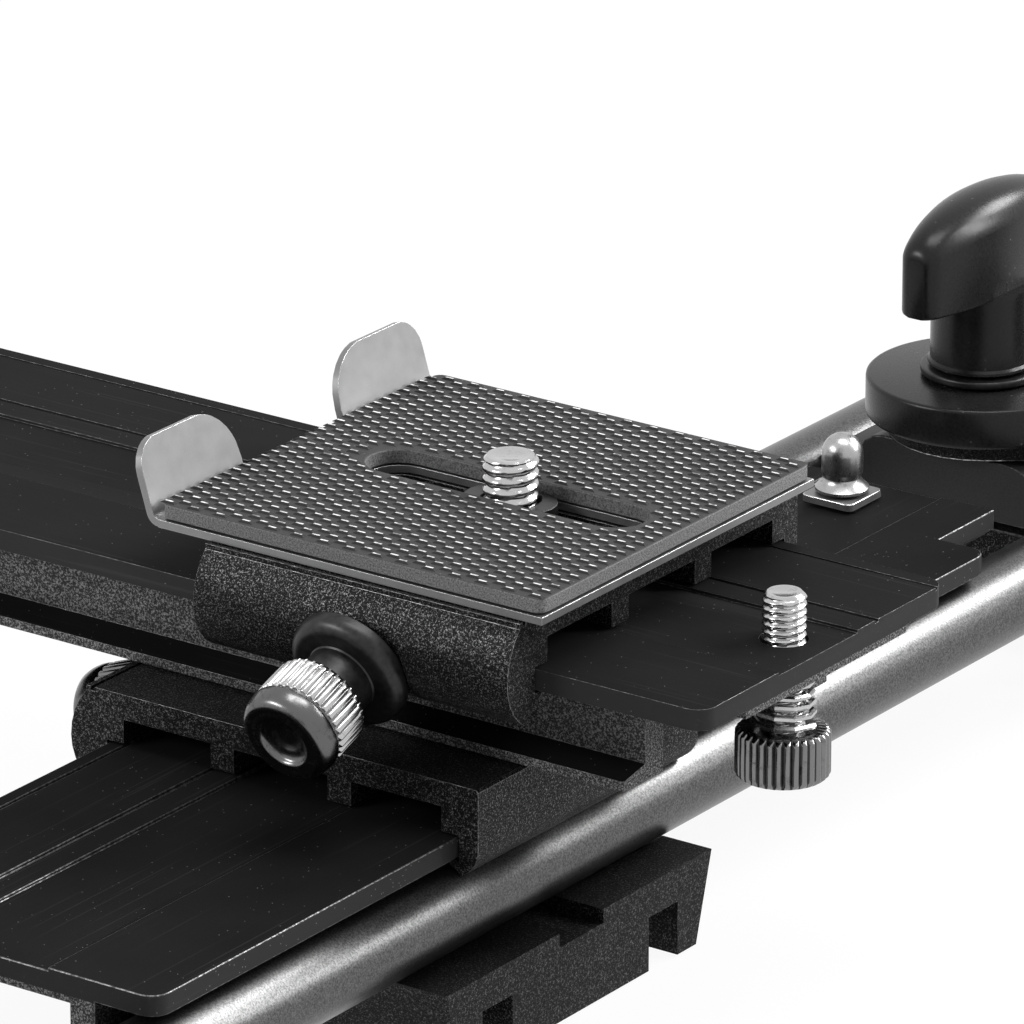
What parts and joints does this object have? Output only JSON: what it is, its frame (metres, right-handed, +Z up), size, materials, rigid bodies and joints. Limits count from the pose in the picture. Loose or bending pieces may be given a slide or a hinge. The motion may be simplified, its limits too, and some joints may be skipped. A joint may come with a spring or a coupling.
{
  "type": "macro flash bracket",
  "caption": "Macro flash bracket: crossed sliding quick-release rails on two round tubes, with a clamped swinging flash arm, T knob and tilting cold shoe at each end.",
  "frame": {"origin": "centre of the tripod face under the base block, midway between its two tripod bores", "axes": "+X forward along the upper rail (the way the lens points), +Y along the tubes, +Z up"},
  "size_m": [0.1953, 0.3673, 0.0584],
  "materials": {
    "black_anodised": "satin black anodised, fine extrusion lines, bright worn edges",
    "blasted_black": "bead blasted black anodised with a fine sparkle",
    "grey_anodised": "dark grey anodised, fine grain",
    "chrome_plate": "bright plated, knurled where gripped",
    "steel_sheet": "fine brushed sheet with polished cut edges",
    "spring_steel": "bright drawn wire",
    "black_oxide_steel": "black oxide steel",
    "rubber": "matt black rubber with rows of short raised bars",
    "black_plastic": "satin black moulded plastic"
  },
  "bodies": {
    "bracket": {"base_block": "black_anodised", "front_tube": "grey_anodised", "rear_tube": "grey_anodised", "front_tube_cap_right": "black_plastic", "front_tube_cap_left": "black_plastic", "rear_tube_cap_right": "black_plastic", "rear_tube_cap_left": "black_plastic", "tube_screw_1": "black_oxide_steel", "tube_screw_2": "black_oxide_steel", "tube_screw_3": "black_oxide_steel", "tube_screw_4": "black_oxide_steel", "lower_rail": "black_anodised", "lower_rail_screw_1": "black_oxide_steel", "lower_rail_screw_2": "black_oxide_steel", "end_stop_nut": "chrome_plate", "end_stop_washer": "chrome_plate", "end_stop_bolt": "black_oxide_steel"},
    "lower_stage": {"lower_carriage": "blasted_black", "upper_rail": "black_anodised", "upper_rail_screw_1": "black_oxide_steel", "upper_rail_screw_2": "black_oxide_steel"},
    "lower_lock": {"lower_lock_screw": "black_oxide_steel", "lower_lock_collar": "black_oxide_steel", "lower_lock_knob": "black_oxide_steel"},
    "captive_fastener": {"captive_screw": "chrome_plate", "captive_spring": "spring_steel"},
    "qr_stage": {"qr_carriage": "blasted_black", "quick_release_plate": "steel_sheet", "rubber_pad": "rubber", "plate_rivet_1": "black_oxide_steel", "plate_rivet_2": "black_oxide_steel"},
    "qr_lock": {"qr_lock_screw": "black_oxide_steel", "qr_lock_collar": "black_oxide_steel", "qr_lock_knob": "chrome_plate"},
    "slider": {"screw_slider": "black_plastic"},
    "camera_fastener": {"camera_screw": "chrome_plate"},
    "right_clamp": {"right_clamp_saddle": "black_anodised", "right_clamp_block": "grey_anodised", "right_clamp_disc": "black_anodised"},
    "right_knob": {"right_t_knob": "black_plastic", "right_knob_ring": "chrome_plate", "right_clamp_bolt": "black_oxide_steel"},
    "right_arm": {"right_flash_arm": "black_anodised", "right_shoe_fork": "black_anodised", "right_fork_screw": "black_oxide_steel", "right_tilt_nut": "black_oxide_steel"},
    "right_shoe": {"right_cold_shoe": "black_anodised"},
    "right_tilt_fastener": {"right_tilt_screw": "chrome_plate"},
    "left_clamp": {"left_clamp_saddle": "black_anodised", "left_clamp_block": "grey_anodised", "left_clamp_disc": "black_anodised"},
    "left_knob": {"left_t_knob": "black_plastic", "left_knob_ring": "chrome_plate", "left_clamp_bolt": "black_oxide_steel"},
    "left_arm": {"left_flash_arm": "black_anodised", "left_shoe_fork": "black_anodised", "left_fork_screw": "black_oxide_steel", "left_tilt_nut": "black_oxide_steel"},
    "left_shoe": {"left_cold_shoe": "black_anodised"},
    "left_tilt_fastener": {"left_tilt_screw": "chrome_plate"}
  },
  "joints": [
    {"name": "lower_stage_slide", "type": "slide", "parent": "bracket", "child": "lower_stage", "axis": [0, 1, 0], "range_m": [-0.052, 0.052]},
    {"name": "lower_lock_turn", "type": "hinge", "parent": "lower_stage", "child": "lower_lock", "pos_m": [-0.0232, 0.0055, 0.0226], "axis": [-0.9397, 0, -0.342], "continuous": true},
    {"name": "qr_stage_slide", "type": "slide", "parent": "lower_stage", "child": "qr_stage", "axis": [1, 0, 0], "range_m": [-0.105, 0.0105]},
    {"name": "qr_lock_turn", "type": "hinge", "parent": "qr_stage", "child": "qr_lock", "pos_m": [0.01, -0.011, 0.0421], "axis": [0, -0.9397, -0.342], "continuous": true},
    {"name": "camera_screw_slide", "type": "slide", "parent": "qr_stage", "child": "slider", "axis": [1, 0, 0], "range_m": [-0.0128, 0.0119]},
    {"name": "camera_screw_turn", "type": "hinge", "parent": "slider", "child": "camera_fastener", "pos_m": [0.0108, 0.0122, 0.0522], "axis": [0, 0, 1], "continuous": true},
    {"name": "captive_screw_lift", "type": "slide", "parent": "lower_stage", "child": "captive_fastener", "axis": [0, 0, 1], "range_m": [0, 0.0025], "stiffness_N_per_m": 350, "springref_m": -0.002, "deforming": ["captive_spring"]},
    {"name": "right_clamp_slide", "type": "slide", "parent": "bracket", "child": "right_clamp", "axis": [0, 1, 0], "range_m": [-0.009, 0.013]},
    {"name": "right_knob_turn", "type": "hinge", "parent": "right_clamp", "child": "right_knob", "pos_m": [0, 0.1235, 0.0322], "axis": [0, 0, 1], "continuous": true},
    {"name": "right_arm_swing", "type": "hinge", "parent": "right_clamp", "child": "right_arm", "pos_m": [0, 0.1235, 0.0235], "axis": [0, 0, 1], "range_deg": [-35, 95]},
    {"name": "right_shoe_tilt", "type": "hinge", "parent": "right_arm", "child": "right_shoe", "pos_m": [0.06389, 0.16824, 0.0397], "axis": [-0.5736, 0.8192, 0], "range_deg": [-90, 90]},
    {"name": "right_tilt_screw_turn", "type": "hinge", "parent": "right_arm", "child": "right_tilt_fastener", "pos_m": [0.06389, 0.16824, 0.0397], "axis": [-0.5736, 0.8192, 0], "continuous": true},
    {"name": "left_clamp_slide", "type": "slide", "parent": "bracket", "child": "left_clamp", "axis": [0, 1, 0], "range_m": [-0.013, 0.009]},
    {"name": "left_knob_turn", "type": "hinge", "parent": "left_clamp", "child": "left_knob", "pos_m": [0, -0.1235, 0.0322], "axis": [0, 0, 1], "continuous": true},
    {"name": "left_arm_swing", "type": "hinge", "parent": "left_clamp", "child": "left_arm", "pos_m": [0, -0.1235, 0.0235], "axis": [0, 0, 1], "range_deg": [-95, 35]},
    {"name": "left_shoe_tilt", "type": "hinge", "parent": "left_arm", "child": "left_shoe", "pos_m": [0.06389, -0.16824, 0.0397], "axis": [0.5736, 0.8192, 0], "range_deg": [-90, 90]},
    {"name": "left_tilt_screw_turn", "type": "hinge", "parent": "left_arm", "child": "left_tilt_fastener", "pos_m": [0.06389, -0.16824, 0.0397], "axis": [0.5736, 0.8192, 0], "continuous": true}
  ]
}
